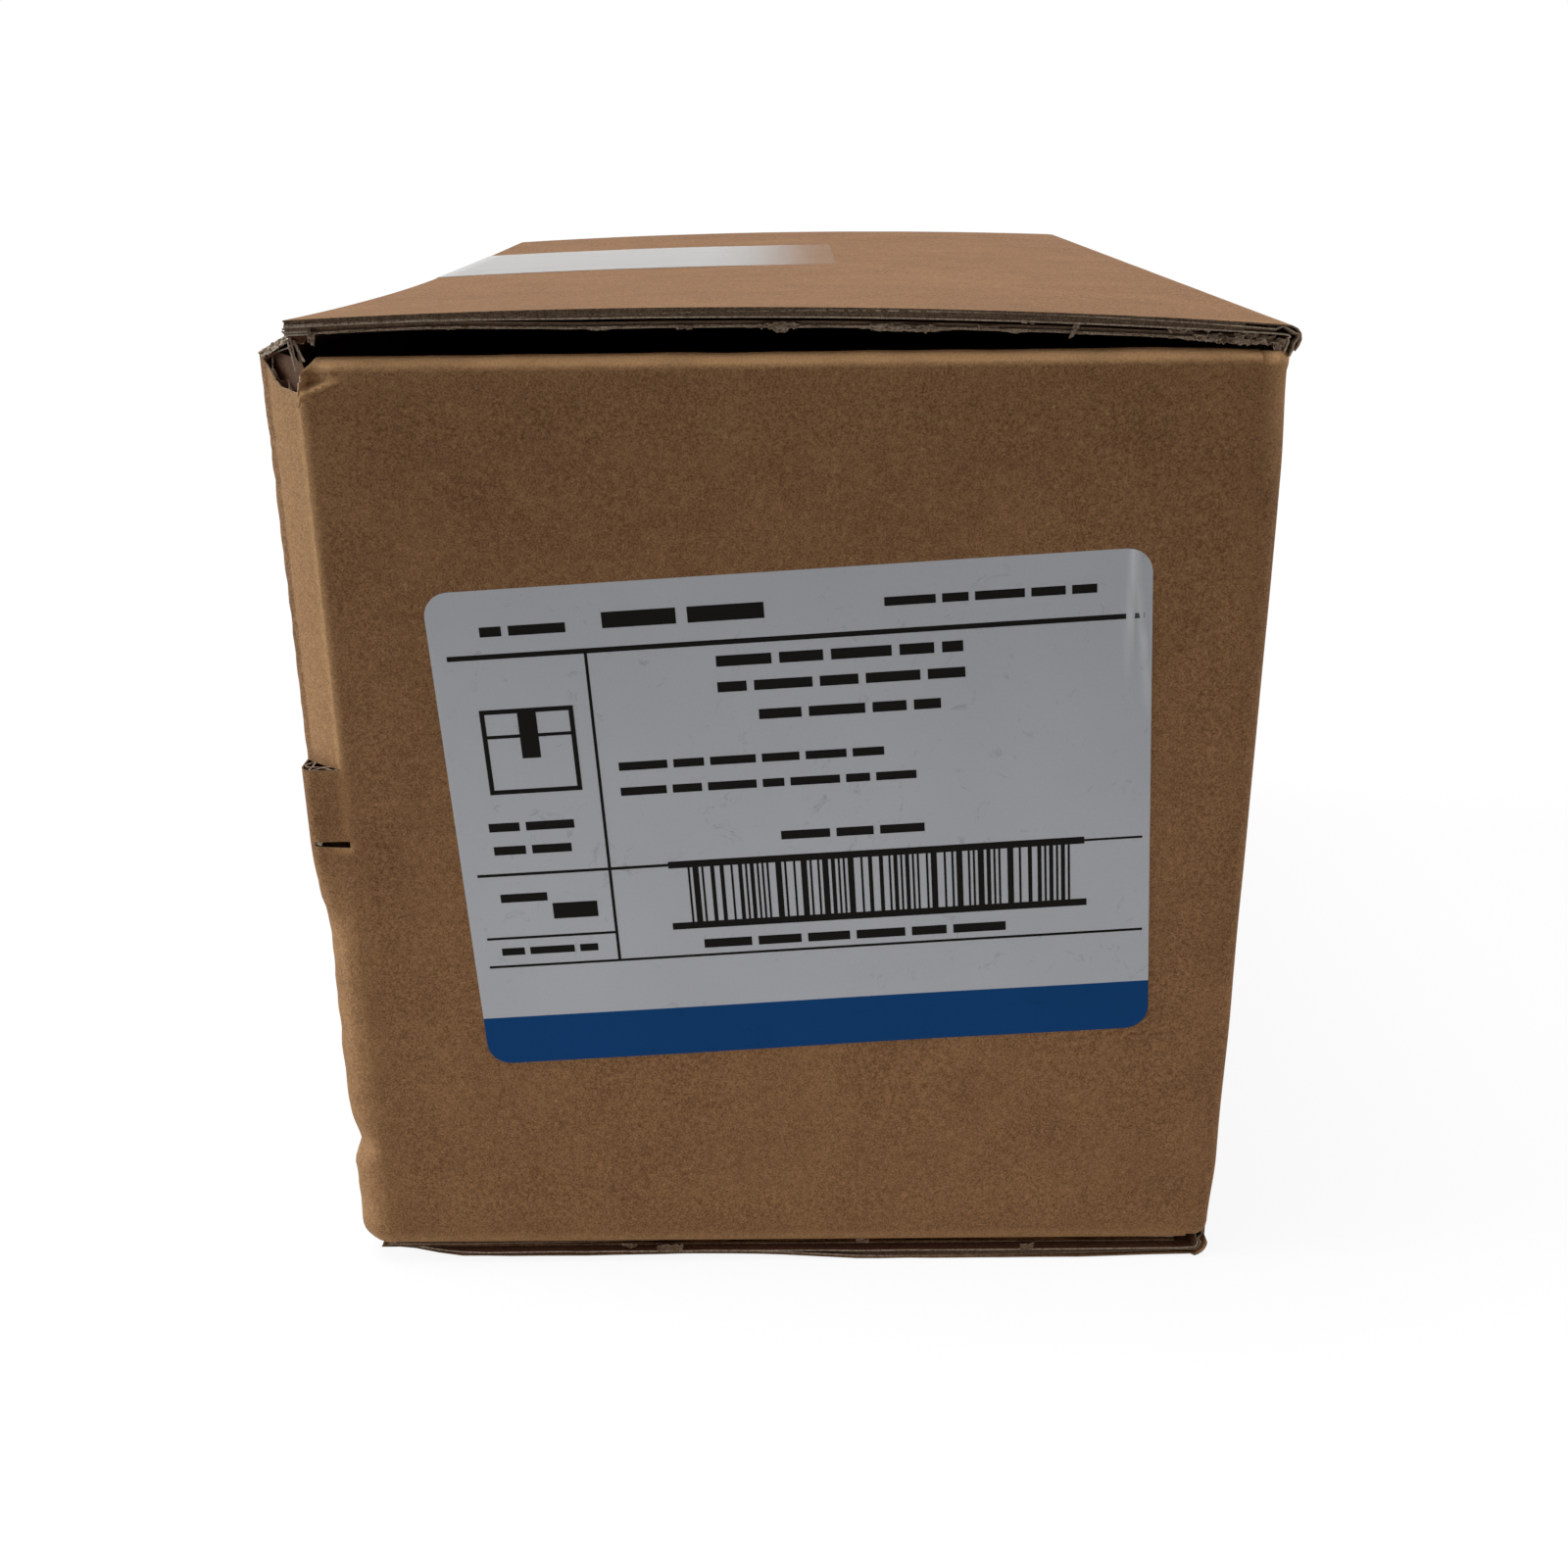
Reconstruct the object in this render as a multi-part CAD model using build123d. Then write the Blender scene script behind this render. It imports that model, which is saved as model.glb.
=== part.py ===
"""Corrugated shipping carton with full-overlap flaps, closed with one strip of clear tape.

One die-cut blank of E-flute board is scored, folded and joined along a glue tab. At the top and
at the base the two long flaps lie right across each other: the inner one is hinged on the left
wall and the outer one on the right wall. The front left corner has been knocked in. It has a
bevel and a torn slot at the top, one die-cut tongue that still stands square, and a worn fold.

Frame: millimetres, +Z up, origin at the centre of the base on the ground, front facing -Y.
"""
from build123d import *
import os
from math import cos, radians, sin

# Carton, measured over the outer faces of the walls and of the front wall's folds.
carton_width = 138.0
carton_depth = 215.0
wall_height = 140.0

# Board and its folds.
board = 1.65
layer_gap = 0.10
fold_radius = 2.6
corner_radius = 2.2

# Flaps.
minor_flap_length = 62.0
minor_flap_inset = 3.0
minor_flap_droop = 24.0
major_flap_shortfall = 5.0
outer_flap_setback = 0.3
inner_flap_setback = 2.0
left_hinge_drop = 0.9
lid_fold_bulge = 1.2

# Glued joint at the rear left corner.
glue_tab_width = 30.0
glue_tab_trim = 4.0
joint_gap = 0.30

# How the closed lid bows: heights over the level of its hinge, at mid span and at its free end.
front_bow = 2.9
front_lift = 1.9
taped_bow = 0.9
taped_lift = -0.7
rear_bow = 1.2
rear_lift = -0.5
crushed_edge = 0.5
flap_ramp = 4.5

# Knocked-in front left corner: bevel and torn slot above, square tongue, worn fold below.
bevel_width = 6.3
bevel_depth = 5.0
tear_depth = 3.7
tear_step = 2.1
tear_clearance = 0.5
tongue_top = 85.8
tongue_height = 11.0
tongue_corner_radius = 1.9
tongue_slot_height = 1.5
tongue_slot_width = 5.5
worn_corner_radius = 4.6

# Paper label on the front and tape across the lid.
label_width = 101.6
label_height = 75.0
label_thickness = 0.15
label_corner = 3.5
label_tilt = 3.2
label_right_offset = 3.8
label_centre_height = 77.2
tape_width = 60.0
tape_from_front = 105.0
tape_thickness = 0.12
tape_clearance = 0.12
tape_on_lid = 76.0
tape_down_wall = 50.0
tape_landing_angle = 120.0

# Places that follow from the sizes above.
left = -carton_width / 2
right = carton_width / 2
front = -carton_depth / 2
rear = carton_depth / 2
layer = board + layer_gap
base_lift = 2 * layer
wall_top = base_lift + wall_height
ring_bottom = base_lift + fold_radius
ring_top = wall_top - fold_radius
inner_top = wall_top + layer
lid_top = wall_top + 2 * layer
left_hinge_top = inner_top - left_hinge_drop
tongue_bottom = tongue_top - tongue_height
tape_front = front + tape_from_front
tape_rear = tape_front + tape_width
UP, DOWN = (0, 0, 1), (0, 0, -1)
FORWARD, BACKWARD = (0, -1, 0), (0, 1, 0)
LEFTWARD, RIGHTWARD = (-1, 0, 0), (1, 0, 0)


def wall_section(front_left, radius):
    """Level cut through the four walls, with the open joint at the rear left corner.

    front_left holds the one or two points of that corner, rounded to the radius if it has one.
    """
    outline = [(left, rear)] + front_left + [(right, front), (right, rear)]
    outer = make_face(Polyline(*outline, close=True))
    inner = offset(outer, amount=-board, kind=Kind.INTERSECTION)
    if radius:
        outer = fillet(outer.vertices().group_by(Axis.X)[0].sort_by(Axis.Y)[0], radius)
        inner = fillet(inner.vertices().group_by(Axis.X)[0].sort_by(Axis.Y)[0], max(radius - board, 0.1))
    outer = fillet(outer.vertices().group_by(Axis.X)[-1], corner_radius)
    inner = fillet(inner.vertices().group_by(Axis.X)[-1], corner_radius - board)
    joint = Pos(left + board + joint_gap / 2, rear) * Rectangle(joint_gap, 2 * board)
    return outer - inner - joint


def walls():
    """The four walls between their scores, with the glue tab inside the left one."""
    square = [(left, front)]
    bevel = [(left, front + bevel_depth), (left + bevel_width, front)]
    worn = Pos(0, 0, ring_bottom) * wall_section(square, worn_corner_radius)
    tongue = Pos(0, 0, tongue_bottom) * wall_section(square, tongue_corner_radius)
    bevelled = Pos(0, 0, tongue_top) * wall_section(bevel, None)
    tab_height = ring_top - ring_bottom - 2 * glue_tab_trim
    glue_tab = Box(board, glue_tab_width, tab_height, align=(Align.MIN, Align.MAX, Align.MIN))
    return [
        extrude(worn, tongue_bottom - ring_bottom),
        extrude(tongue, tongue_height),
        extrude(bevelled, ring_top - tongue_top),
        Pos(left + board, rear - board, ring_bottom + glue_tab_trim) * glue_tab,
    ]


def fold_profile(stub, turn, length, bulge=0.0):
    """Board seen on edge: a stub of wall, a fold through the turn in degrees, then a flap.

    The wall's outer face is at x = 0, the inside of the carton is on +x and the wall runs up y.
    The bulge is how far a loose fold stands out past the wall.
    """
    hub = Vector(fold_radius - bulge, stub)
    inner_radius = fold_radius - board
    end = radians(180 - turn)
    spoke = Vector(cos(end), sin(end))
    outer_end = hub + spoke * fold_radius
    inner_end = hub + spoke * inner_radius
    around = CenterArc(hub, fold_radius, 180, -turn)
    back = CenterArc(hub, inner_radius, 180 - turn, turn)
    profile = make_face([around, Line(outer_end, inner_end), back, Line(back @ 1, around @ 0)])
    if stub > 0:
        profile += make_face(Polyline((0, 0), around @ 0, back @ 1, (board, 0), close=True))
    if length > 0:
        flap = Rectangle(length, board, align=(Align.MIN, Align.MAX))
        profile += Pos(outer_end.X, outer_end.Y) * Rot(0, 0, 90 - turn) * flap
    return profile


def hinged(profile, middle, inward, along_wall, width):
    """Fold profile drawn out along its score, to the width, about the middle of the score."""
    score = Vector(*inward).cross(Vector(*along_wall))
    return extrude(Plane(origin=middle, x_dir=inward, z_dir=score) * profile, width / 2, both=True)


def minor_flaps():
    """Short flaps of the front and rear walls. The front one hangs down inside, unsupported."""
    width = carton_width - 2 * minor_flap_inset
    hanging = fold_profile(0, 90 + minor_flap_droop, minor_flap_length)
    level = fold_profile(0, 90, minor_flap_length)
    hanging_left = left + bevel_width + tear_clearance
    hanging_right = right - minor_flap_inset
    hanging_middle = ((hanging_left + hanging_right) / 2, front, ring_top)
    return [
        hinged(hanging, hanging_middle, BACKWARD, UP, hanging_right - hanging_left),
        hinged(level, (0, rear, ring_top), FORWARD, UP, width),
        hinged(level, (0, front, ring_bottom), BACKWARD, DOWN, width),
        hinged(level, (0, rear, ring_bottom), FORWARD, DOWN, width),
    ]


def base_flaps():
    """Long flaps under the carton: the inner one from the left, the outer one from the right."""
    length = carton_width - fold_radius - major_flap_shortfall
    inner = fold_profile(layer, 90, length)
    outer = fold_profile(2 * layer, 90, length)
    inner_width = carton_depth - 2 * inner_flap_setback
    outer_width = carton_depth - 2 * outer_flap_setback
    return [
        hinged(inner, (left, 0, ring_bottom), RIGHTWARD, DOWN, inner_width),
        hinged(outer, (right, 0, ring_bottom), LEFTWARD, DOWN, outer_width),
    ]


def lid_hinges():
    """Folds at the top of the left and right walls. The left one stops short of the bevel."""
    left_front = front + bevel_depth
    left_rear = rear - inner_flap_setback
    left_middle = (left, (left_front + left_rear) / 2, ring_top)
    left_fold = fold_profile(layer - left_hinge_drop, 90, 0)
    right_fold = fold_profile(2 * layer, 90, 0, lid_fold_bulge)
    return [
        hinged(left_fold, left_middle, RIGHTWARD, UP, left_rear - left_front),
        hinged(right_fold, (right, 0, ring_top), LEFTWARD, UP, carton_depth - 2 * outer_flap_setback),
    ]


def lid_arc(bow, lift, x_from, x_to, drop=0.0):
    """Length of the lid's parabola seen on edge, let down from the top of the outer flap.

    The parabola leaves the right hinge at the lid's level, is at the bow half way across and
    at the lift where the outer flap ends.
    """
    hinge_x = right + lid_fold_bulge - fold_radius
    span = hinge_x - left - major_flap_shortfall
    start, end = (hinge_x - x_from) / span, (hinge_x - x_to) / span
    rise, bend = 4 * bow - lift, 2 * lift - 4 * bow
    first = lid_top - drop + start * (rise + bend * start)
    last = lid_top - drop + end * (rise + bend * end)
    pull = first + (rise + 2 * bend * start) * (end - start) / 2
    return Bezier((x_from, first), ((x_from + x_to) / 2, pull), (x_to, last))


def band(tops, thickness, y):
    """Upright face at y between the top curves and the same curves let down by the thickness."""
    bottoms = [Pos(0, -thickness) * curve for curve in tops]
    ends = [Line(tops[0] @ 0, bottoms[0] @ 0), Line(tops[-1] @ 1, bottoms[-1] @ 1)]
    return Plane.XZ.offset(-y) * make_face(tops + bottoms + ends)


def outer_lid():
    """Outer top flap: sprung up at the front edge, held down across its middle by the tape."""
    hinge_x = right + lid_fold_bulge - fold_radius
    free_x = left + major_flap_shortfall
    sprung = lid_arc(front_bow, front_lift, hinge_x, free_x)
    taped = lid_arc(taped_bow, taped_lift, hinge_x, free_x)
    slack = lid_arc(rear_bow, rear_lift, hinge_x, free_x)
    front_end = band([sprung], board, front + outer_flap_setback)
    tape_start = band([taped], board, tape_front)
    tape_end = band([taped], board, tape_rear)
    rear_end = band([slack], board, rear - outer_flap_setback)
    return [
        loft([front_end, tape_start]),
        extrude(tape_start, tape_width, dir=BACKWARD),
        loft([tape_end, rear_end]),
    ]


def inner_lid():
    """Inner top flap: a ramp up from the left hinge, then close under the outer flap."""
    foot = (left + fold_radius, left_hinge_top)
    ramp_x = left + fold_radius + flap_ramp
    free_x = right - major_flap_shortfall
    sprung = lid_arc(front_bow, front_lift, ramp_x, free_x, layer)
    taped = lid_arc(taped_bow, taped_lift, ramp_x, free_x, layer)
    y_front = front + inner_flap_setback
    y_rear = rear - inner_flap_setback
    front_end = band([Line(foot, sprung @ 0), sprung], board - crushed_edge, y_front)
    tape_start = band([Line(foot, taped @ 0), taped], board, tape_front)
    return [loft([front_end, tape_start]), extrude(tape_start, y_rear - tape_front, dir=BACKWARD)]


def corner_tear():
    """Torn slot over the bevel, stepping down from the left wall to the front wall."""
    crease = left + bevel_width
    low = wall_top - tear_depth
    high = lid_top
    outline = [
        (crease + tear_clearance, high),
        (crease + tear_clearance, low),
        (crease - 0.2 * bevel_width, low + 0.1 * tear_step),
        (crease - 0.4 * bevel_width, low + 0.3 * tear_step),
        (crease - 0.6 * bevel_width, low + tear_step),
        (left, low + 2 * tear_step),
        (left - board, high),
    ]
    wedge = Plane.XZ.offset(-front + board) * make_face(Polyline(*outline, close=True))
    return extrude(wedge, board + bevel_depth, dir=BACKWARD)


def tongue_slot():
    """Slot under the square tongue, through the front wall beside the corner."""
    x = left + bevel_width - tongue_slot_width / 2
    z = tongue_bottom - tongue_slot_height / 2
    return Pos(x, front, z) * Box(tongue_slot_width, 3 * board, tongue_slot_height)


def carton():
    """The whole folded blank as one solid."""
    panels = walls() + minor_flaps() + base_flaps() + lid_hinges() + outer_lid() + inner_lid()
    return panels[0].fuse(*panels[1:]) - corner_tear() - tongue_slot()


def front_label():
    """Paper label stuck on the front wall, a little crooked."""
    face = RectangleRounded(label_width, label_height, label_corner)
    place = Pos(label_right_offset, label_centre_height) * Rot(0, 0, label_tilt)
    return extrude(Plane.XZ.offset(-front) * place * face, label_thickness)


def tape_path(standing_off):
    """Tape seen on edge, from its end on the lid to its end on the wall, so far off the board."""
    free_x = left + major_flap_shortfall
    hub = Vector(left + fold_radius, left_hinge_top - fold_radius)
    on_lid = lid_arc(taped_bow, taped_lift, free_x + tape_on_lid, free_x, -standing_off)
    turn = 180 - tape_landing_angle
    round_fold = CenterArc(hub, fold_radius + standing_off, tape_landing_angle, turn)
    bridge = Line(on_lid @ 1, round_fold @ 0)
    down_wall = Line(round_fold @ 1, round_fold @ 1 - Vector(0, tape_down_wall))
    return [on_lid, bridge, round_fold, down_wall]


def sealing_tape():
    """Clear tape that holds the free end of the lid down and runs on down the left wall."""
    under, over = tape_path(tape_clearance), tape_path(tape_clearance + tape_thickness)
    ends = [Line(under[0] @ 0, over[0] @ 0), Line(under[-1] @ 1, over[-1] @ 1)]
    strip = Plane.XZ.offset(-tape_front) * make_face(under + over + ends)
    return extrude(strip, tape_width, dir=BACKWARD)


os.makedirs("parts", exist_ok=True)
for node, shape in {
    "carton": carton(),
    "front_label": front_label(),
    "sealing_tape": sealing_tape(),
}.items():
    export_step(shape, f"parts/{node}.step")
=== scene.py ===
from math import ceil, copysign, cos, exp, pi, radians, sin
import bmesh
import bpy
from mathutils import Matrix, Vector, noise


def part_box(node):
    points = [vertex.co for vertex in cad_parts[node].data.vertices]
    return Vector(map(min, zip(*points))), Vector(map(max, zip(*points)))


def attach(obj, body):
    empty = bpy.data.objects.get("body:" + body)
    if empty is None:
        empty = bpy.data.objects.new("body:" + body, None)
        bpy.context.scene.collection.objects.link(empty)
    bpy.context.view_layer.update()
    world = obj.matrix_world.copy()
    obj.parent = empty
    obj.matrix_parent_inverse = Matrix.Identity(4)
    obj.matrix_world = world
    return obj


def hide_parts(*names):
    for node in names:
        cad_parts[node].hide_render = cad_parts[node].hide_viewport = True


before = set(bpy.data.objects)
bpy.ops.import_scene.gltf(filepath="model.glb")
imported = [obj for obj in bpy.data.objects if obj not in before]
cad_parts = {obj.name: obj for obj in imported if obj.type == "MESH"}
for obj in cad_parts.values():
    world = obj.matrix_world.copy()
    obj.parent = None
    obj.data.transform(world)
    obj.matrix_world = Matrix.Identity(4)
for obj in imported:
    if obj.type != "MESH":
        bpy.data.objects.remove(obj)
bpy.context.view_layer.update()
scene = bpy.context.scene

# ----------------------------------
# Camera. It stands a hand's breadth over the lid and looks down at the labelled wall, turned a
# third of a degree to the left and rolled two thirds of a degree.


def stand(name, data):
    """A new object in the scene, with its data."""
    made = bpy.data.objects.new(name, data)
    scene.collection.objects.link(made)
    return made


eye = Vector((0.00263, -0.33570, 0.17099))
yaw, pitch, roll = radians(-0.352), radians(21.07), radians(0.673)
ahead = Vector((sin(yaw) * cos(pitch), cos(yaw) * cos(pitch), -sin(pitch)))
level = Vector((cos(yaw), -sin(yaw), 0))
steep = ahead.cross(level)
across, below = cos(roll) * level + sin(roll) * steep, cos(roll) * steep - sin(roll) * level
camera = stand("camera", bpy.data.cameras.new("camera"))
camera.matrix_world = Matrix.Translation(eye) @ Matrix((across, -below, -ahead)).transposed().to_4x4()
camera.data.sensor_width = 36
camera.data.lens = 38.71
camera.data.clip_start = 0.01
scene.camera = camera
scene.view_settings.view_transform = "Standard"

# ----------------------------------
# Kraft board. Brown E-flute corrugated board: two sheets of kraft liner with a fluted medium
# glued between them, 1.65 mm in all. Long pulp fibres give the liner a mottled, matt, finely
# speckled face; the medium is a greyer, weaker paper; a knife or a tear leaves pale fibre.


def linear(hex_colour):
    """An sRGB hex colour as the linear RGBA that shaders take."""
    channels = [int(hex_colour[k:k + 2], 16) / 255 for k in (1, 3, 5)]
    return [c / 12.92 if c <= 0.04045 else ((c + 0.055) / 1.055) ** 2.4 for c in channels] + [1]


def add(tree, kind, inputs=None, **settings):
    """Adds a shader node with its settings. An input takes a value, a socket, or a node's output."""
    made = tree.nodes.new("ShaderNode" + kind)
    for name, value in settings.items():
        setattr(made, name, value)
    for key, value in (inputs or {}).items():
        if isinstance(value, bpy.types.Node):
            value = next(socket for socket in value.outputs if socket.enabled)
        if isinstance(value, bpy.types.NodeSocket):
            tree.links.new(value, made.inputs[key])
        else:
            made.inputs[key].default_value = value
    return made


def blank_material(name):
    """A new material with an empty node tree, and the tree."""
    material = bpy.data.materials.new(name)
    material.use_nodes = True
    material.node_tree.nodes.clear()
    return material, material.node_tree


def in_millimetres(tree):
    """Places on the piece in mm, for patterns with real sizes."""
    place = add(tree, "TexCoord").outputs["Object"]
    return add(tree, "VectorMath", {0: place, 3: 1000}, operation="SCALE")


def kraft_paper(name, pale, dark, lightened, grain, tooth, contrast=1):
    """Kraft paper: cloudy formation, fine grain, stray pale fibres and dark shives, rubbed folds and painted
    highlights.
    """
    material, tree = blank_material(name)
    at = in_millimetres(tree)
    # Formation clouds are 9 mm and 45 mm across, the grain is 0.3 mm and the strands are 0.8 mm.
    clouds = add(tree, "TexNoise", {"Vector": at, "Scale": 1 / 9, "Detail": 4})
    drift = add(tree, "TexNoise", {"Vector": at, "Scale": 1 / 45, "Detail": 2})
    fine = add(tree, "TexNoise", {"Vector": at, "Scale": 1 / grain, "Detail": 3, "Roughness": 0.65})
    strands = add(tree, "TexNoise", {"Vector": at, "Scale": 1.2, "Detail": 4, "Roughness": 0.7,
                                     "Distortion": 0.5})
    total = 0
    weights = ((clouds, 0.20), (drift, 0.12), (fine, 1.15 * contrast), (strands, 0.50 * contrast))
    for pattern, share in weights:
        total = add(tree, "Math", {0: pattern, 1: share, 2: total}, operation="MULTIPLY_ADD")
    middle = 0.16 + 0.825 * contrast
    tone = add(tree, "MapRange", {0: total, 1: middle - 0.20, 2: middle + 0.20})
    body = add(tree, "Mix", {0: tone, 6: linear(dark), 7: linear(pale)}, data_type="RGBA")
    # Dark shives: one in about every 7 mm cell, 0.25 mm across.
    cells = add(tree, "TexVoronoi", {"Vector": at, "Scale": 1 / 7})
    shive = add(tree, "MapRange", {0: cells, 1: 0.016, 2: 0.034, 3: 0.55, 4: 0})
    specked = add(tree, "Mix", {0: shive, 6: body, 7: linear("#4A3423")}, data_type="RGBA")
    # Pale fibres: the thin ridges of a distorted 1.3 mm noise, broken up by the strands.
    hair = add(tree, "TexNoise", {"Vector": at, "Scale": 0.75, "Detail": 1, "Distortion": 4})
    ridge = add(tree, "Math", {0: hair, 1: 0.5}, operation="SUBTRACT")
    ridge = add(tree, "Math", {0: ridge}, operation="ABSOLUTE")
    thin = add(tree, "MapRange", {0: ridge, 1: 0, 2: 0.024, 3: 1, 4: 0})
    patchy = add(tree, "MapRange", {0: strands, 1: 0.48, 2: 0.60, 3: 0, 4: 0.55})
    fibre = add(tree, "Math", {0: thin, 1: patchy}, operation="MULTIPLY")
    haired = add(tree, "Mix", {0: fibre, 6: specked, 7: linear(lightened)}, data_type="RGBA")
    # The attribute marks where the face is made pale: rubbed fibre at corners and creases, and a painted
    # highlight along the front top fold and on the bevel facet.
    wear_and_highlight = add(tree, "Attribute", attribute_name="wear_and_highlight").outputs["Fac"]
    broken = add(tree, "MapRange", {0: fine, 1: 0.32, 2: 0.62, 3: 0.70, 4: 1})
    wear_and_highlight_amount = add(tree, "Math", {0: wear_and_highlight, 1: broken}, operation="MULTIPLY", use_clamp=True)
    finished = add(tree, "Mix", {0: wear_and_highlight_amount, 6: haired, 7: linear(lightened)}, data_type="RGBA")
    height = add(tree, "Math", {0: fine, 1: 0.6, 2: strands}, operation="MULTIPLY_ADD")
    # The tooth is how deep the fibre relief is, in metres.
    bump = add(tree, "Bump", {"Strength": 0.6, "Distance": tooth, "Height": height})
    paper = add(tree, "BsdfPrincipled", {"Base Color": finished, "Normal": bump, "Roughness": 0.72,
                                         "IOR": 1.45, "Specular IOR Level": 0.35})
    add(tree, "OutputMaterial", {"Surface": paper})
    return material


board_materials = [
    # The face's pale tone serves for pale fibres, rubbed fibre and the painted highlight on the front top
    # fold and bevel facet.
    kraft_paper("kraft_liner_face", "#BC8B5C", "#724A2B", "#FDC489", 0.28, 0.00014),
    # The back liner is darkened past its own colour: painted shade for the carton's unlit inside.
    kraft_paper("kraft_liner_back_painted_shade", "#6F4731", "#482D1E", "#8C6748", 0.45, 0.00010),
    kraft_paper("fluting_medium", "#866A50", "#584433", "#A78E72", 0.35, 0.00016),
    # The cut board's dark end is deepened: partly its own darker fibre, partly painted shade in the cut
    # edge's recess.
    kraft_paper("knife_cut_board", "#80674F", "#403122", "#A58E77", 0.30, 0.00012, 1.3),
    kraft_paper("torn_paper_fibre", "#DDC6AE", "#927A63", "#E6D4C0", 0.25, 0.00013, 1.5)]
FACE, BACK, FLUTE, CUT, TORN = range(5)

# Thickness of the board and of one liner in mm, and how deep the inner liner's face lies.
board, liner = 1.65, 0.22
inner_face = board - liner


def spaced(start, end, count):
    """Even stations from start to end, both included, with count spaces between them."""
    return [start + (end - start) * k / count for k in range(count + 1)]


def ramp(low, high, value):
    """0 below low, 1 above high, with a soft run between."""
    t = min(1, max(0, (value - low) / (high - low)))
    return t * t * (3 - 2 * t)


def uneven(a, b, c):
    """Soft noise, from about -0.7 to 0.7, at a place given by three numbers."""
    return noise.noise(Vector((a, b, c)))


def between(steps, place):
    """The height at a place, straight from step to step, with steps given as (place, height)."""
    for (p0, h0), (p1, h1) in zip(steps, steps[1:]):
        if place <= p1:
            return h0 + (h1 - h0) * (place - p0) / (p1 - p0)
    return steps[-1][1]


def inset(line, depth, side=1):
    """A flat line moved by the depth at each of its points to its left, or to its right for -1."""
    steps = [(end - start).normalized() for start, end in zip(line, line[1:])]
    normals = [Vector((-step.y, step.x)) * side for step in steps]
    moved = []
    for k, (before, after) in enumerate(zip(normals[:1] + normals, normals + normals[-1:])):
        miter = (before + after) / max(0.4, 1 + before.dot(after))
        moved.append(line[k] + miter * (depth(k) if callable(depth) else depth))
    return moved


def arc(x, z, reach, rise, degrees):
    """A flat arc about a centre: at 0 degrees it lies at x - reach, and at 90 at z + rise."""
    return [Vector((x - reach * cos(radians(a)), z + rise * sin(radians(a)))) for a in degrees]


def at_x(x, line):
    """A flat line stood up at one x."""
    return [(x, p.x, p.y) for p in line]


def at_y(y, line):
    """A flat line stood up at one y."""
    return [(p.x, y, p.y) for p in line]


def lay_sheet(bm, lines, outward, material):
    """Lays a grid of paper along lines of points, facing outward, or for None away from the middle."""
    rows, columns = len(lines) - 1, len(lines[0]) - 1
    grid = bmesh.ops.create_grid(bm, x_segments=rows, y_segments=columns, size=1)
    faces = {f for v in grid["verts"] for f in v.link_faces}
    for v in grid["verts"]:
        v.co = lines[round((v.co.x + 1) / 2 * rows)][round((v.co.y + 1) / 2 * columns)]
    for f in faces:
        f.material_index = material
        f.smooth = True
    bm.normal_update()
    if sum(f.normal.dot(Vector(outward or f.calc_center_median())) for f in faces) < 0:
        bmesh.ops.reverse_faces(bm, faces=list(faces))
    return faces


def cut_away(bm, faces, waste):
    """Cuts off the faces whose middles lie in the waste."""
    bmesh.ops.delete(bm, geom=[f for f in faces if waste(f.calc_center_median())], context="FACES")


def finish_paper(name, bm, thickness=liner, wear_and_highlight=None, materials=board_materials, rim=CUT, weld=0.004):
    """Welds the sheets, gives them the paper's thickness inwards and makes them one object."""
    bmesh.ops.remove_doubles(bm, verts=bm.verts, dist=weld)
    bmesh.ops.scale(bm, vec=(0.001, 0.001, 0.001), verts=bm.verts)
    mesh = bpy.data.meshes.new(name)
    bm.to_mesh(mesh)
    bm.free()
    for material in materials:
        mesh.materials.append(material)
    lightened = mesh.attributes.new("wear_and_highlight", "FLOAT", "POINT")
    for k, v in enumerate(mesh.vertices):
        lightened.data[k].value = wear_and_highlight(v.co * 1000) if wear_and_highlight else 0
    flat = stand(name + "_flat", mesh)
    skin = flat.modifiers.new("thickness", "SOLIDIFY")
    skin.thickness = thickness / 1000
    skin.offset = -1
    skin.material_offset_rim = rim
    bpy.context.view_layer.update()
    solid = bpy.data.meshes.new_from_object(flat.evaluated_get(bpy.context.evaluated_depsgraph_get()))
    bpy.data.objects.remove(flat)
    solid.name = name
    solid.set_sharp_from_angle(angle=radians(50))
    return stand(name, solid)


# ----------------------------------
# Walls. The four walls of the carton, folded from one blank and glued over a tab at the rear
# left corner, with the short flaps of the front and rear walls. The front left corner is
# knocked in to a bevel above a die-cut tongue, and worn round and dented below it.
low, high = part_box("carton")
left, front, rear = low.x * 1000, low.y * 1000, high.y * 1000
right = -left
score_low, score_high = 6.1, 140.9
# Outer radii of the flaps' folds, the walls' corners and the fold of the glue tab.
fold, corner, glue_fold = 2.6, 2.2, 1.9
bevel_wide, bevel_deep = 6.3, 5
bevel_x, bevel_y = left + bevel_wide, front + bevel_deep
slot_bottom, slot_top, tongue_top = 73.6, 74.6, 85.8
# The bevel's sheets are drawn out to their torn tops from this height on.
tear_foot = 130
dent_height = 20.8
scuff_height, scuff_slope, scuff_end = 139.3, 0.36, -56.4
# Length of a short flap, half the width that it fits in, and how far the front one is turned in.
short_flap, inside, front_turn = 62, 66, 114
flute_pitch = 3.3

left_stations = spaced(rear, bevel_y, 36)
knocked = 18
knocked_stations = [k / knocked for k in range(1, knocked)]
front_stations = spaced(bevel_x, -52.7, 10) + spaced(-51.2, right - corner, 79)
quarter = [90 * k / 8 for k in range(1, 8)]
right_stations = spaced(front + corner, rear - corner, 26)
tab_x = left + board + 0.02
rear_stations = spaced(right - corner, tab_x + glue_fold, 34)
tab_stations = spaced(rear - glue_fold, rear - 30, 5)
first_knocked = len(left_stations)
first_front = first_knocked + len(knocked_stations)


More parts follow.
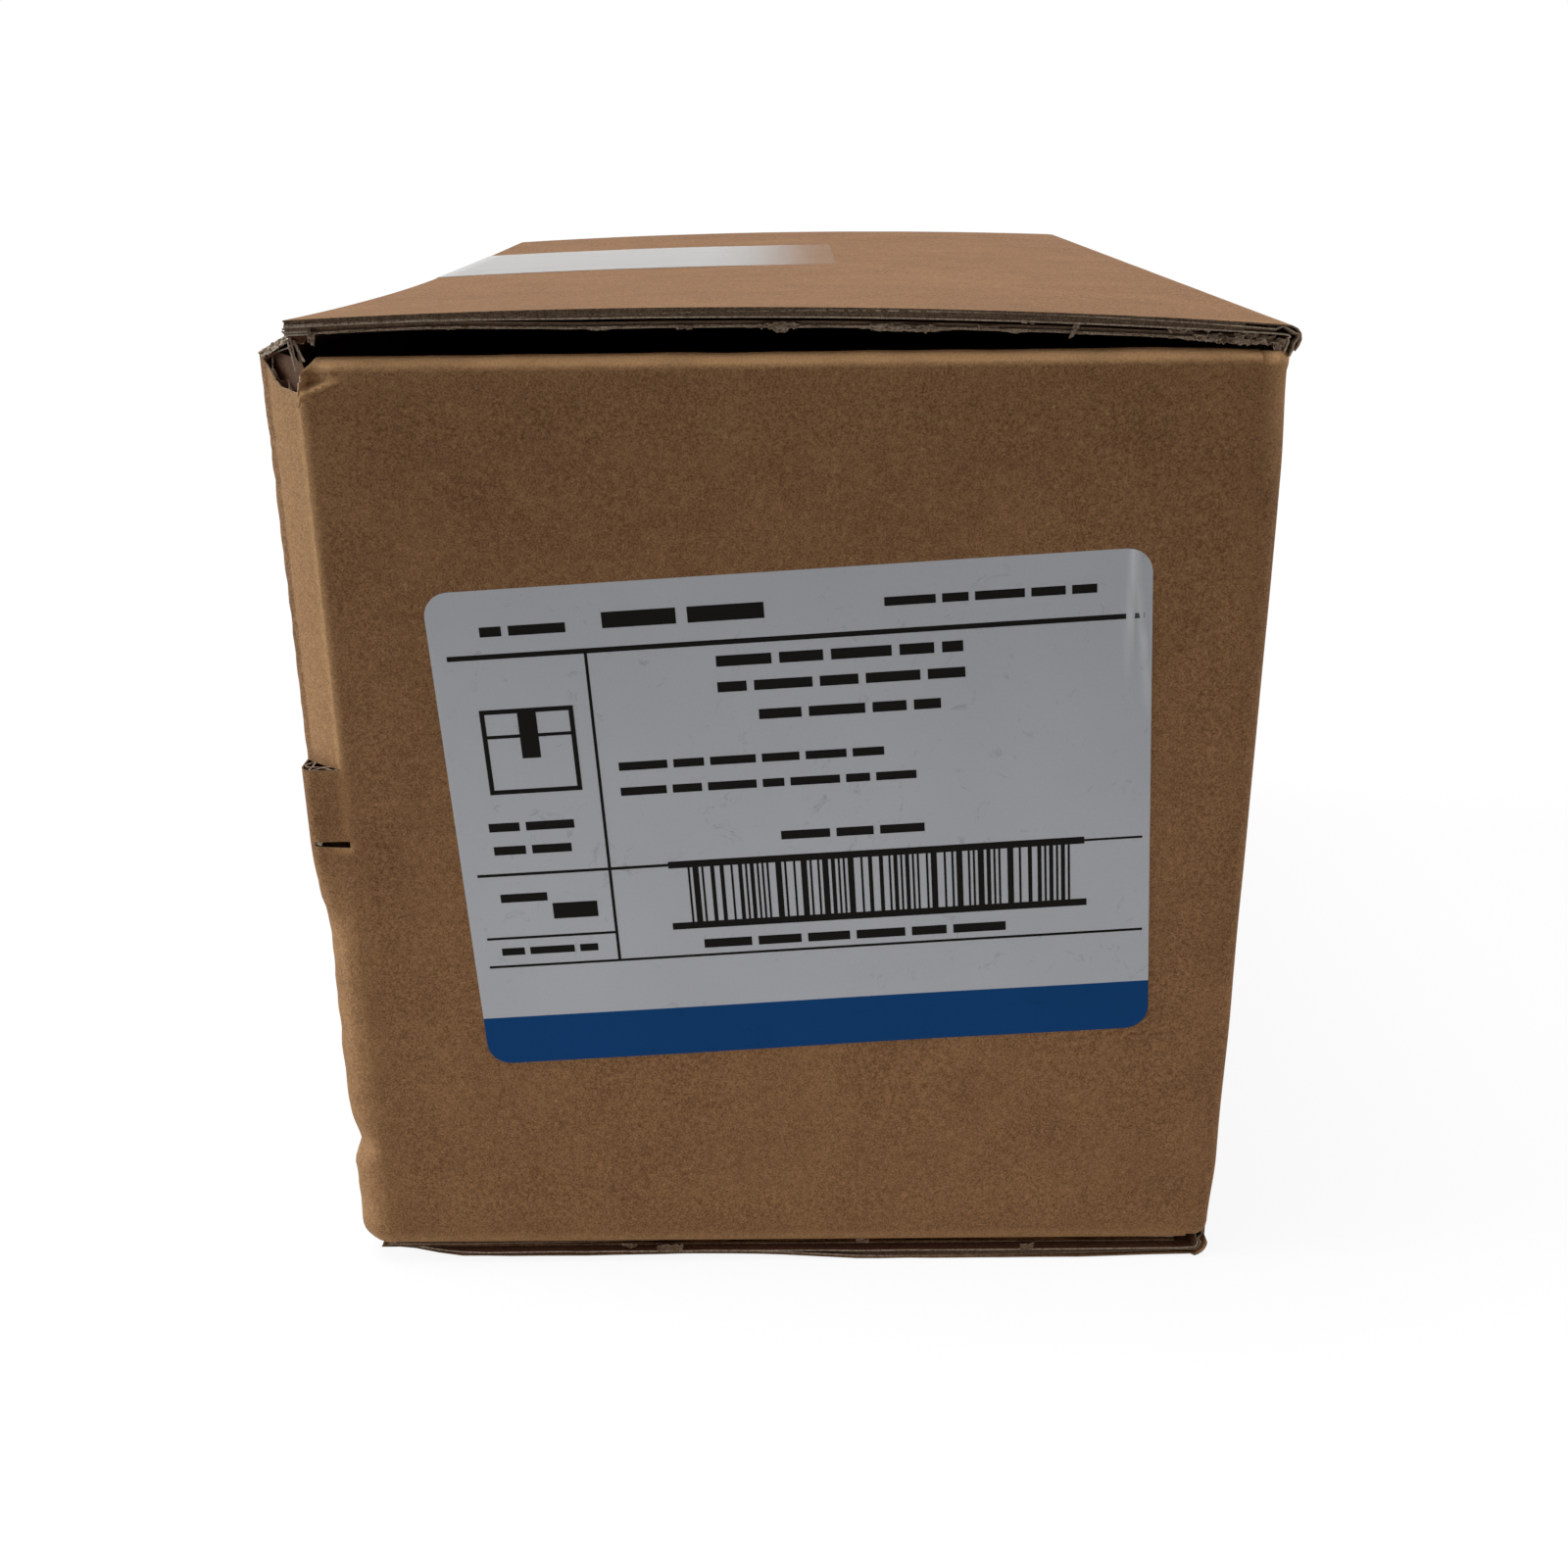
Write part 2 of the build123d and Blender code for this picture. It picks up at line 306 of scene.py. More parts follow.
def ripple(a, b, seed, size=38):
    """A soft unevenness between 0 and 1 over a wall."""
    return 0.5 + 0.5 * uneven(a / size, b / size, seed)


def above_scuff(x, z):
    """Height above the slanting scuff that the knock left at the front wall's top left corner."""
    return z - scuff_height - scuff_slope * (x - bevel_x)


def front_sink(x, z):
    """How far the front wall lies behind its plane, in mm."""
    rim = min(ramp(score_high, score_high - 14, z), ramp(score_low, score_low + 10, z),
              ramp(bevel_x, bevel_x + 10, x), ramp(right - corner, right - corner - 10, x))
    above = above_scuff(x, z)
    scuff = ramp(0, 0.9, above) * ramp(scuff_end, scuff_end - 2.1, x) * ramp(bevel_x, bevel_x + 0.8, x)
    ridge = exp(-((above + 0.1) / 0.45) ** 2) * ramp(scuff_end, scuff_end - 1.2, x)
    dent = 0.80 * scuff + 0.25 * (scuff + ridge > 0.01) - 0.30 * ridge
    return max(0, 0.45 * rim * ripple(x, z, 4) + dent)


def knock(z):
    """How far the worn front left edge is pushed in at a height: a dent, a step and some waver."""
    rise = z - dent_height
    notch = 1.5 * max(0, 1 - (rise / 8 if rise > 0 else -rise / 3.6)) ** 1.3
    step = 0.75 * ramp(65.5, 61.5, z) * (0.45 + 0.55 * ramp(36, 58, z))
    waver = 0.35 * (0.4 + uneven(z / 4, 3, 1)) * ramp(slot_bottom, 64, z)
    return notch + step + waver


def knocked_corner(z, beveled):
    """Points of the front left corner between the left wall and the front wall's crease."""
    points = []
    radius = 1.9 + 2.3 * ramp(slot_bottom, 52, z)
    lean = 0.20 * ramp(slot_bottom + 0.2, 66, z)
    first, bend, last = front - bevel_y + radius, pi / 2 * radius, bevel_x - left - radius
    for t in knocked_stations:
        if beveled:
            swell = 0.18 * sin(pi * t) - 0.22 * (1 - t) * uneven(z / 2.1, 8, 2)
            points.append(Vector((left + bevel_wide * t - 0.62 * swell,
                                  bevel_y - bevel_deep * t - 0.78 * swell)))
            continue
        run = t * (bend + last - first)
        if run < -first:
            x, y = left, bevel_y - run
        elif run < bend - first:
            turn = (run + first) / radius
            x, y = left + radius * (1 - cos(turn)), front + radius * (1 - sin(turn))
        else:
            x, y = left + radius + run + first - bend, front
        y += lean * max(0, bevel_x - 0.6 - x) * ramp(0, 0.5, t)
        push = knock(z) * (0.85 + 0.15 * sin(pi * t)) * ramp(1, 0.42, t)
        points.append(Vector((x + 0.85 * push, y + 0.30 * push)))
    return points


def wall_line(z, beveled):
    """Outer face of the walls at a height, from the left wall's rear edge round to the glue tab."""
    rim = min(ramp(score_high, score_high - 14, z), ramp(score_low, score_low + 12, z))

    def sink(a, seed, ends):
        return 0.5 * rim * ripple(a, z, seed) * ends

    jag = 0.32 * abs(uneven(z / 2.1, 8, 2)) * ramp(144, 141, z) * beveled
    push = 0 if beveled else 0.72 * knock(z)
    line = [Vector((left + sink(y, 11, ramp(rear, rear - 8, y) * ramp(bevel_y, bevel_y + 8, y))
                    + jag * ramp(bevel_y + 6, bevel_y + 1, y) + push * ramp(bevel_y + 17, bevel_y, y), y))
            for y in left_stations]
    line += knocked_corner(z, beveled)
    line += [Vector((x, front + front_sink(x, z))) for x in front_stations]
    soft = rim * (0.35 * ripple(0, z, 23, 17) - 0.75)
    line += arc(right - corner, front + corner, corner - soft, -corner, [90 + a for a in quarter])
    line += [Vector((right - soft * ramp(front + 16, front + 4, y)
                     - sink(y, 31, ramp(front + 2, front + 14, y) * ramp(rear - 2, rear - 14, y)), y))
             for y in right_stations]
    line += arc(right - corner, rear - corner, -corner, corner, quarter)
    line += [Vector((x, rear - sink(x, 41, ramp(right - 2, right - 14, x) * ramp(tab_x, tab_x + 14, x))))
             for x in rear_stations]
    line += arc(tab_x + glue_fold, rear - glue_fold, glue_fold, glue_fold, quarter[::-1])
    return line + [Vector((tab_x, y)) for y in tab_stations]


lower_heights = (spaced(score_low, 13, 5) + spaced(14, 34, 20) + spaced(35.5, 72, 24)
                 + [slot_bottom, slot_top] + spaced(76.5, tongue_top, 5))
upper_heights = spaced(tongue_top, tear_foot, 30) + spaced(131, 136, 5) + spaced(136.4, score_high, 11)

# Tops of the torn sheets of the bevel, from the left wall (0) to the front wall's crease (1).
outer_tear = [(0, 144.3), (0.12, 143.4), (0.25, 142.35), (0.4, 141), (0.53, 140.1), (0.7, 139.85),
              (0.85, 139.6), (1, 139.45)]
medium_tear = [(0, 144.2), (0.14, 143.9), (0.22, 142.4), (0.34, 142.3), (0.4, 140.7), (0.52, 140.9),
               (0.6, 139.6), (0.74, 140.3), (0.8, 139.3), (1, 139.3)]
inner_tear = [(0, 144.5), (0.35, 144.3), (0.7, 143.9), (0.92, 143.2), (1, 141.2)]


def torn_height(t, tear):
    """Top of a torn sheet at a place along the tear, with a little fray."""
    return between(tear, t) + 0.25 * uneven(t * 9, len(tear), 4)


def lay_walls(bm, depth, material, tear):
    """One liner of the walls at a depth, with the slot and the torn top of the bevel."""
    for heights, beveled in ((lower_heights, False), (upper_heights, True)):
        if depth:
            # The inner liner shows only at its edges, so it has half the rows.
            heights = [z for n, z in enumerate(heights)
                       if n % 2 == 0 or z in (slot_bottom, slot_top, heights[-1])]
        lines = []
        for z in heights:
            at = inset(wall_line(z, beveled), depth)
            lines.append([Vector((p.x, min(p.y, rear), z)) for p in at])
            if z == slot_bottom:
                # The slot narrows towards the corner, where its lower lip has sprung up.
                for j in range(first_knocked, first_front):
                    lines[-1][j].z += 0.5 * (1 - (j - first_knocked) / (knocked - 1))
        if beveled:
            for j in range(first_knocked, first_front):
                top = min(score_high, torn_height((j - first_knocked + 1) / knocked, tear))
                stretch = (top - tear_foot) / (score_high - tear_foot)
                for line, z in zip(lines, heights):
                    if z > tear_foot:
                        line[j].z = tear_foot + (z - tear_foot) * stretch
        faces = lay_sheet(bm, list(zip(*lines)), None, material)
        if not beveled:
            cut_away(bm, faces, lambda m: slot_bottom < m.z < slot_top and left + 0.9 < m.x < bevel_x
                     and m.y < front + 2.6)
            continue
        # The sheet stands on over the score beside the torn left fold.
        spire = []
        score_line = inset(wall_line(score_high, True), depth)
        for k in range(knocked):
            top = torn_height(k / knocked, tear)
            if top < score_high:
                break
            p = score_line[first_knocked - 1 + k]
            spire.append([(p.x, p.y, z) for z in spaced(score_high, top, 4)])
        lay_sheet(bm, spire, (-0.62, -0.78, 0), material)


def dense(line, step=0.41):
    """The line cut into short steps, with the run along it at each point."""
    points, runs = [line[0]], [0]
    for start, end in zip(line, line[1:]):
        count = max(1, ceil((end - start).length / step))
        for k in range(1, count + 1):
            points.append(start.lerp(end, k / count))
            runs.append(runs[-1] + (end - start).length / count)
    return points, runs


def flute_wave(run, along=0):
    """Depth of the fluted medium's face: a wave with its crests glued to the liners.

    The knife runs not quite along the flutes, so at a cut end the wave drifts by 1 in 45.
    """
    return inner_face / 2 + (board / 2 - liner - 0.09) * sin(2 * pi * (run + along / 45) / flute_pitch)


def lay_wall_flutes(bm):
    """The medium where an edge shows it: the torn bevel, the tongue and the rear cut edge."""
    for z0, z1, beveled in ((80, tongue_top - 0.05, False), (133, score_high, True)):
        points, runs = dense(wall_line(z1, beveled)[first_knocked - 1:first_front + 1])
        moved = inset(points, lambda k: flute_wave(runs[k]))
        tops = [torn_height(min(1, run / 8.1), medium_tear) if beveled else z1 for run in runs]
        lay_sheet(bm, [[(p.x, p.y, z0 + (z - z0) * (top - z0) / (z1 - z0)) for p, top in zip(moved, tops)]
                       for z in spaced(z0, z1, 6)], (-1, -1, 0), FLUTE)
    lay_sheet(bm, [[(left + flute_wave(y, z), y, z) for y in spaced(rear - 3, rear - 0.08, 9)]
                   for z in spaced(score_low + 1, score_high, 30)], (-1, 0, 0), FLUTE)


def lay_corner(bm, first, last, upward, reach, flare=0, tuck=1.7):
    """Carries the outer liner past the scores at a corner, flares it a little and curls it inwards."""
    score = score_high if upward > 0 else score_low
    line = wall_line(score, upward > 0)
    columns = []
    for a in [radians(a) for a in (0, 18, 36, 54, 72, 90)]:
        def depth(j):
            beside = ramp(first, (first + last) / 2, j)
            return tuck * (1 - cos(a)) - flare * beside * (sin(a) + 0.8 * (1 - cos(a)))
        curl = inset(line, depth)[first:last + 1]
        columns.append([(p.x, max(front, min(rear, p.y)), score + upward * rise * sin(a))
                        for p, rise in zip(curl, spaced(*reach, last - first))])
    lay_sheet(bm, list(zip(*columns)), (0, 0, upward), FACE)


def short_flap_line(wall_y, score, turn, away, upward, sink=0, drop=0, square=1):
    """Edge-on line of a short flap from its wall's score, as points of y and z."""
    hub = Vector((wall_y + fold * away, score))
    line = [Vector((wall_y + sink * away, score))]
    for k in range(1, 13):
        a = radians(turn * k / 12)
        c, rise = copysign(abs(cos(a)) ** square, cos(a)), sin(a) ** square
        line.append(Vector((hub.x - away * fold * c + away * sink * (1 - k / 12),
                            hub.y + upward * (fold - drop) * rise)))
    along = Vector((away * sin(radians(turn)), upward * cos(radians(turn))))
    return line + [line[-1] + along * short_flap * k / 10 for k in range(1, 11)]


def lay_short_flaps(bm, depth, material):
    """The four short flaps, each drawn along its score."""
    lines = []
    for x in [x for x in front_stations if x < right - 3]:
        end = ramp(-60.6, bevel_x, x)
        wobble = 0.16 * (uneven(x / 9, 2, 7) - 0.3)
        drop = 1.5 * end - 0.4 - wobble + 0.4 * ramp(right - 10, right - 3, x)
        line = short_flap_line(front, score_high, front_turn, 1, 1, front_sink(x, score_high), drop, 0.55)
        moved = inset(line, lambda k: depth + abs(0.10 * uneven(x / 2.6, k * 0.45, 5)
                                                  * sin(pi * min(1, k / 8))), -1)
        lines.append([(x + 0.25 * end, p.x + 0.5 * end * min(1, k / 12), p.y) for k, p in enumerate(moved)])
    lay_sheet(bm, lines, (0, 0, 1), material)
    # The front wall's bottom fold has been pressed down into a lip by the carton's weight.
    lip = [Vector((front + dy, z)) for dy, z in (
        (0, score_low), (0, 5.4), (0.04, 4.8), (0.2, 4.25), (0.55, 3.75), (1.1, 3.4), (1.8, 3.28),
        (2.6, 3.45), (3.4, 3.5), (30, 3.5), (64, 3.5))]
    lip = inset(lip, depth)
    lay_sheet(bm, [at_x(x, lip) for x in front_stations if abs(x) < inside], (0, 0, -1), material)
    for score, upward in ((score_high, 1), (score_low, -1)):
        line = inset(short_flap_line(rear, score, 90, -1, upward), depth, upward)
        lay_sheet(bm, [at_x(x, line) for x in rear_stations if abs(x) < inside], (0, 0, upward), material)


def wall_wear_and_highlight(p):
    """Where the walls are paled: rubbed corners and creases, and a painted highlight on the front top fold
    and the bevel facet.
    """
    patch = 0.75 + 0.5 * uneven(p.x / 7, p.y / 7, p.z / 3)
    # Painted highlight: the front top fold is lightened where light falls on its curve.
    lightened = 1.3 * patch * ramp(141.9, 143.1, p.z) * ramp(front + 6, front + 2, p.y)
    lightened *= ramp(bevel_x - 0.4, bevel_x + 0.2, p.x)
    lightened += 0.30 * ramp(6.2, 4.2, p.z) * ramp(front + 3, front + 1, p.y)
    # The scuff's crease: partly rubbed fibre, partly a painted highlight on its ridge.
    if p.y < front + 2 and bevel_x - 0.2 < p.x < scuff_end:
        lightened += 0.7 * ramp(0.7, 0.1, abs(above_scuff(p.x, p.z)))
    if p.y < front + 4:
        lightened += 0.22 * ramp(1.3, 0.2, abs(p.x - bevel_x)) * ramp(70, 78, p.z)
        lightened += 0.55 * patch * ramp(right - 3.4, right - 1.2, p.x) * ramp(122, 139, p.z)
        lightened += 0.24 * patch * ramp(left + 9, left + 3, p.x) * ramp(slot_bottom, 62, p.z)
        lightened += 0.8 * ramp(0.6, 0.15, abs(p.z - slot_bottom + 0.3)) * ramp(bevel_x + 0.6, bevel_x, p.x)
        # Painted light: the bevel facet above the tongue is lightened for the light it takes from the left.
        lightened += 0.36 * ramp(bevel_x + 0.5, bevel_x - 0.5, p.x) * ramp(84, 90, p.z)
    return min(1, lightened)


walls_mesh = bmesh.new()
for depth, material, tear in ((0, FACE, outer_tear), (inner_face, BACK, inner_tear)):
    lay_walls(walls_mesh, depth, material, tear)
    lay_short_flaps(walls_mesh, depth, material)
lay_wall_flutes(walls_mesh)
front_right = first_front + len(front_stations) - 1
rear_right = front_right + len(quarter) + len(right_stations)
rear_left = rear_right + len(quarter) + len(rear_stations)
lay_corner(walls_mesh, front_right - 2, front_right + 8, 1, (2.6, 2.7), 0.75, 1.9)
lay_corner(walls_mesh, front_right - 2, front_right + 8, -1, (2.6, 2.2))
for first, last in ((rear_right, rear_right + 10), (rear_left - 1, rear_left + 8)):
    lay_corner(walls_mesh, first, last, 1, (2.6, 2.2))
    lay_corner(walls_mesh, first, last, -1, (2.6, 2.2))
lay_corner(walls_mesh, first_knocked - 1, first_front, -1, (2.5, 2.8), 0, 1.1)
walls = finish_paper("carton_walls", walls_mesh, wear_and_highlight=wall_wear_and_highlight)
# The cut edges at the knocked-in corner are torn ones, and its medium takes the darkened back liner as
# painted shade.
for f in walls.data.polygons:
    if f.center.x < -0.062 and f.center.y < -0.100 and f.center.z > 0.130:
        f.material_index = {CUT: TORN, FLUTE: BACK}.get(f.material_index, f.material_index)
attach(walls, "root")
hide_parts("carton")

# ----------------------------------
# Lid. Two long flaps cross the whole carton: the inner one is hinged on the left wall, and the
# outer one on the right wall lies over it. Tape holds the lid down at mid depth, so its front
# edge has sprung up in a bow that shows both cut edges.
# How far the flaps' cut ends lie back from the front and rear walls, and their free edges from the
# opposite wall.
flap_setback, inner_setback, free_gap = 0.3, 2, 5
hinge_x = right + 1.2 - fold
free_left, free_right = left + free_gap, right - free_gap
tape_low, tape_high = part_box("sealing_tape")
tape_front, tape_rear = tape_low.y * 1000, tape_high.y * 1000
layer = board + 0.10
lid_level = 147
hub_z = 141.75
slot_end = rear - corner - 0.3
# The lid's front edge is battered up to the first x and sound from the second.
battered_x, sound_x = -48, -22
# The medium is drawn only this far in from a cut edge.
flute_strip, flute_steps = 7, 488
round_fold = (15, 30, 45, 60, 75, 90)


def lid_height(x, y):
    """Top face of the outer lid flap."""
    if y < tape_front:
        spring = ((tape_front - y) / (tape_front - front)) ** 1.7
        bow, lift = 0.9 + 2 * spring, -0.7 + 2.6 * spring
    else:
        slack = ramp(tape_rear, rear, y)
        bow, lift = 0.9 + 0.3 * slack, -0.7 + 0.2 * slack
    u = (hinge_x - x) / (hinge_x - free_left)
    buckle = 0.05 * uneven(x / 16, y / 55, 3) * ramp(0, 0.1, u)
    return lid_level + u * (4 * bow - lift) + u * u * (2 * lift - 4 * bow) + min(0, buckle)


lid_stations = [hinge_x - 1, hinge_x - 2.4] + spaced(hinge_x - 5, free_left, 34)
bulge = [(right + out, z) for out, z in (
    (0, score_high), (-0.02, 141.9), (0.05, 142.7), (0.42, 143.5), (0.88, 144.2), (1.13, 145), (1.02, 145.8),
    (0.55, 146.45), (-0.25, 146.85))] + [(hinge_x, lid_level)]


def outer_lid_line(y):
    """Edge-on line of the outer flap, from the right wall round its sprung fold to the free edge."""
    sway = 0.22 * uneven(y / 14, 9, 1) - 0.05
    line = [Vector((x + sway * ramp(0, 5, k) * ramp(9, 6, k), z)) for k, (x, z) in enumerate(bulge)]
    return line + [Vector((x, lid_height(x, y))) for x in lid_stations]


def crush(x, y, inner=False):
    """How thick the lid's flaps still are, as a share of the board: battered flat along the front."""
    flat = 0.56 + (-0.12 if inner else 0.24) * ramp(battered_x, sound_x, x)
    return flat + (1 - flat) * ramp(front + 2, front + 24, y)


def outer_depth(y, share, line):
    """Depth of a liner in the outer flap. In the fold the back liner buckles away from the face."""
    def depth(k):
        slack = 0.55 * exp(-((k - 5.2) / 1.6) ** 2) * share
        return share * inner_face * crush(line[k].x, y) + slack + 0.3 * slack * uneven(y / 6, k, 2)
    return depth


def beside_corners(m):
    """The fold beside the walls' corners, where the blank is slotted."""
    return m.x > inside and m.z < 143.2 and abs(m.y) > slot_end


def lay_outer_lid(bm, share, material, ragged):
    """One liner of the outer flap, its cut ends a little rough."""
    ys = [front + flap_setback, front + 1.2, -slot_end] + spaced(front + 6, rear - 6, 44)
    ys += [slot_end, rear - flap_setback]
    lines = []
    for n, y in enumerate(ys):
        edge = outer_lid_line(y)
        end = -1 if n == 0 else 1 if n == len(ys) - 1 else 0
        lines.append([(p.x, y - end * ragged * abs(uneven(p.x / 0.9, p.y, share * 5)), p.y)
                      for p in inset(edge, outer_depth(y, share, edge))])
    cut_away(bm, lay_sheet(bm, lines, (0, 0, 1), material), beside_corners)


outer_mesh = bmesh.new()
lay_outer_lid(outer_mesh, 0, FACE, 0.10)
lay_outer_lid(outer_mesh, 1, BACK, 0.16)
for start, end in ((front + flap_setback + 0.12, front + flute_strip),
                   (rear - flute_strip, rear - flap_setback - 0.1)):
    flutes = []
    for y in spaced(start, end, 16):
        line = outer_lid_line(y)
        flutes.append(at_y(y, inset(line, lambda k: flute_wave(y, line[k].x) * crush(line[k].x, y)
                                    * (0.62 + 0.38 * sin(1.9 * k) if k < 10 else 1))))
    cut_away(outer_mesh, lay_sheet(outer_mesh, flutes, (0, 0, 1), FLUTE), beside_corners)
lay_sheet(outer_mesh, [[(x, y, lid_height(x, y) - flute_wave(y, x))
                        for x in spaced(free_left + flute_strip, free_left, 3)]
                       for y in spaced(front + flute_strip, rear - flute_strip, flute_steps)],
          (0, 0, 1), FLUTE)


def close_cut(bm, top, y, start, end, over=0.10, inner=False):
    """The crushed medium between the liners along a flap's front edge and its free front corner."""
    face = []
    for n, x in enumerate([start - 0.02] * 3 + spaced(start, end, 260)):
        back = y + (0.14 + 0.12 * uneven(x / 0.7, y, 4) if n > 2 else (6, 3, 0.4)[n])
        thick = board * crush(x, y, inner)
        face.append([(x, back + 0.1 * uneven(x / 1.5, k * 1.7, 8), top(x, back) - thick * deep)
                     for k, deep in enumerate((over, 0.35, 0.6, 0.86))])
    lay_sheet(bm, face, (0, -1, 0), CUT)


close_cut(outer_mesh, lid_height, front + flap_setback, free_left + 0.1, hinge_x - 5)


def lid_wear(p):
    """Where the outer flap is rubbed: its sprung fold, and a little along its front edge."""
    lightened = 0.5 * ramp(right - 1.5, right + 0.8, p.x)
    return min(1, lightened + 0.25 * ramp(front + 4, front + 0.5, p.y) * ramp(right - 12, right - 2, p.x))


outer_lid = finish_paper("outer_lid_flap", outer_mesh, wear_and_highlight=lid_wear)
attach(outer_lid, "root")
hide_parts("carton")


def inner_top(x, y):
    """Top face of the inner lid flap. Along the front it gapes a little from the outer one."""
    gape = 0.42 * ramp(battered_x, sound_x, x) * ramp(front + 30, front + 6, y)
    return lid_height(x, y) - board * crush(x, y) - 0.12 - gape


def inner_lid_line(y):
    """Edge-on line of the inner flap: left score, fold, ramp, then close under the outer flap."""
    line = [Vector((left, score_high)), Vector((left, hub_z))]
    line += arc(left + fold, hub_z, fold, fold, round_fold)
    line += [Vector((x, inner_top(x, y))) for x in [left + 7.1] + spaced(left + 12, free_right, 32)]
    risen = ((0, score_high), (0, 142.6), (0.02, 143.4), (0.35, 144.1), (1.1, 144.6), (2, 145.05),
             (3, 145.5), (4.3, 145.95))
    for k, (out, z) in enumerate(risen):
        line[k] = line[k].lerp(Vector((left + out, z)), ramp(-94, -101, y))
    line[-1].x += 2.2 * ramp(-96, -103, y)
    return line


def lay_inner_lid(bm, share, material, ragged):
    """One liner of the inner flap, torn back at its front end and off its hinge along the bevel."""
    ys = [front + inner_setback, front + inner_setback + 1.2, bevel_y, bevel_y + 3] + spaced(-97.5, 101.5, 46)
    lines = []
    for n, y in enumerate(ys + [rear - 4, rear - inner_setback]):
        edge = inner_lid_line(y)
        line = inset(edge, lambda k: share * inner_face * crush(edge[k].x, y, True), -1)
        torn = 0 if n else ragged
        lines.append([(p.x, max(y - torn * (uneven(p.x / 1.3, share, 6) + 0.35 * uneven(p.x / 0.4, share, 8)),
                                bevel_y + 0.4 - 0.62 * (p.x - left)), p.y) for p in line])
    lay_sheet(bm, lines, (0, 0, 1), material)


inner_mesh = bmesh.new()
lay_inner_lid(inner_mesh, 0, FACE, 0.15)
lay_inner_lid(inner_mesh, 1, BACK, 0.75)
flutes = []
for y in spaced(front + inner_setback + 0.3, front + inner_setback + flute_strip, 16):
    line = inner_lid_line(y)[7:]
    flutes.append(at_y(y, inset(line, lambda k: flute_wave(y, line[k].x) * crush(line[k].x, y, True), -1)))
lay_sheet(inner_mesh, flutes, (0, 0, 1), FLUTE)
close_cut(inner_mesh, inner_top, front + inner_setback, left + 8, free_right + 1.8, inner=True)
close_cut(inner_mesh, inner_top, front + 0.6, free_left, left + 8.4, -0.06, True)
# Beyond the tear the flap's corner has sprung up flat under the outer flap.
for share, material in ((0, FACE), (0.55, FLUTE), (1, BACK)):
    stub = []
    for x in spaced(free_left - 0.3 + 0.2 * share, left + 8, 8):
        depth = share * inner_face * crush(x, front, True)
        stub.append([(x, y, inner_top(x, y) - depth) for y in spaced(front + 0.7, -99, 7)])
    lay_sheet(inner_mesh, stub, (0, 0, 1), material)
inner_lid = finish_paper("inner_lid_flap", inner_mesh,
                         wear_and_highlight=lambda p: 0.4 * ramp(front + 4.5, front + 2, p.y))
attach(inner_lid, "root")
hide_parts("carton")

# ----------------------------------
# Torn scraps. Where board tears, its liner splits into pale felted shreds: a fringe under the
# inner lid flap, strands across the torn left corner, and bits pressed into the lid's fold.


def lay_tatter(bm, corners, rows, seed, ragged, relief, material=TORN):
    """A torn scrap of liner between its two upper and two lower corners, frayed at its edges."""
    a, b, c, d = (Vector(corner) for corner in corners)
    count = max(2, round((b - a).length / 0.28))
    sheet = []
    for i in range(count + 1):
        start, end = a.lerp(b, i / count), c.lerp(d, i / count)
        down = (end - start).normalized()
        start_fray = -0.5 * ragged * uneven(i * 0.45, 9, seed)
        end_fray = ragged * uneven(i * 0.55, 4, seed)
        column = []
        for k in range(rows + 1):
            p = start.lerp(end, k / rows) + down * (start_fray if k == 0 else end_fray if k == rows else 0)
            p.y -= relief * (0.3 + uneven(i * 0.6, k * 0.9, seed + 0.5))
            column.append(p)
        sheet.append(column)
    lay_sheet(bm, sheet, (0, -1, 0), material)


scraps_mesh = bmesh.new()
fringe = []
for x in spaced(left + 8, right - 2.3, 430):
    thick = 0.22 + 0.5 * max(0, uneven(x / 5, 1, 2))
    thick += 0.30 * ramp(53, 56, x) + 0.45 * ramp(13, 15, x) * ramp(23, 20, x)
    thick *= 1 + 0.35 * (uneven(x / 0.55, 3, 2) + 0.6 * uneven(x / 0.25, 5, 2))
    top = inner_top(x, front + inner_setback) - board * crush(x, front, True) + 0.22
    fringe.append([(x, front + inner_setback - 0.22 - 0.22 * uneven(x / 0.8, k * 1.3, 6), top - thick * k / 3)
                   for k in range(4)])
lay_sheet(scraps_mesh, fringe, (0, -1, 0), TORN)
# Scraps under the lid: left, right, top and bottom in mm, then how frayed and how rough.
upper, lower = front + 1.65, front + 1.5
for x0, x1, z0, z1, ragged, relief in (
        (-1.5, 4.1, 147.8, 147.2, 0.5, 0.6), (0.3, 2.6, 147.5, 146.6, 0.6, 0.7),
        (33, 35.2, 148, 147.4, 0.4, 0.5), (13.2, 16.4, 147.5, 146.8, 0.5, 0.5),
        (17.5, 22, 147.3, 146.7, 0.4, 0.6), (27.5, 30.5, 147.1, 146.7, 0.3, 0.4),
        (52.5, 58.4, 146.7, 146.1, 0.6, 0.8), (56, 60, 145.7, 145, 0.7, 0.9),
        (58.8, 62.4, 145.4, 144.6, 0.9, 0.9), (61.4, 65, 145.9, 145.3, 0.7, 0.8),
        (64.4, 67, 145.3, 144.6, 0.8, 0.9), (66.6, 68.4, 144.9, 143.7, 0.9, 0.8),
        (67.3, 68.9, 143.9, 143.2, 0.8, 0.6), (65.6, 67.4, 147, 146.4, 0.5, 0.5),
        (-12.5, -10, 147.5, 147.1, 0.3, 0.3)):
    corners = ((x0, upper, z0), (x1, upper, z0), (x0 + 0.3, lower, z1), (x1 - 0.3, lower, z1))
    lay_tatter(scraps_mesh, corners, 4, x0, ragged, relief)
